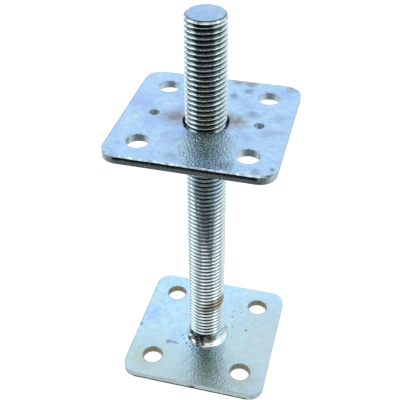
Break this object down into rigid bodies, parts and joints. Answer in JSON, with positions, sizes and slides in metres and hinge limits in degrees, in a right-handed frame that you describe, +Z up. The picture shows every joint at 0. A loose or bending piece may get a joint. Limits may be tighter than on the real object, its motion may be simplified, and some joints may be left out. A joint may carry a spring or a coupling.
{
  "type": "adjustable post base",
  "caption": "Adjustable post base: threaded rod welded on a square base plate, with a square post plate whose welded nut screws along the rod to set the post's height.",
  "frame": {"origin": "middle of the base plate's underside, which stands on the concrete", "axes": "+Z up along the rod; +X along the line of the two nail holes"},
  "size_m": [0.08, 0.08, 0.204],
  "materials": {
    "plate_zinc": "zinc plated sheared plate, pale blue passivate",
    "rod_zinc": "zinc plated rolled thread, bright on the crests",
    "nut_zinc": "zinc plated forged nut",
    "weld_steel": "zinc plated arc weld bead with dark spatter"
  },
  "bodies": {
    "base": {"base_plate": "plate_zinc", "threaded_rod": "rod_zinc", "base_weld": "weld_steel"},
    "post_plate": {"top_plate": "plate_zinc", "adjusting_nut": "nut_zinc", "nut_welds": "weld_steel"}
  },
  "joints": [
    {"name": "height_adjustment", "type": "slide", "parent": "base", "child": "post_plate", "axis": [0, 0, 1], "range_m": [-0.1205, 0.053]}
  ]
}
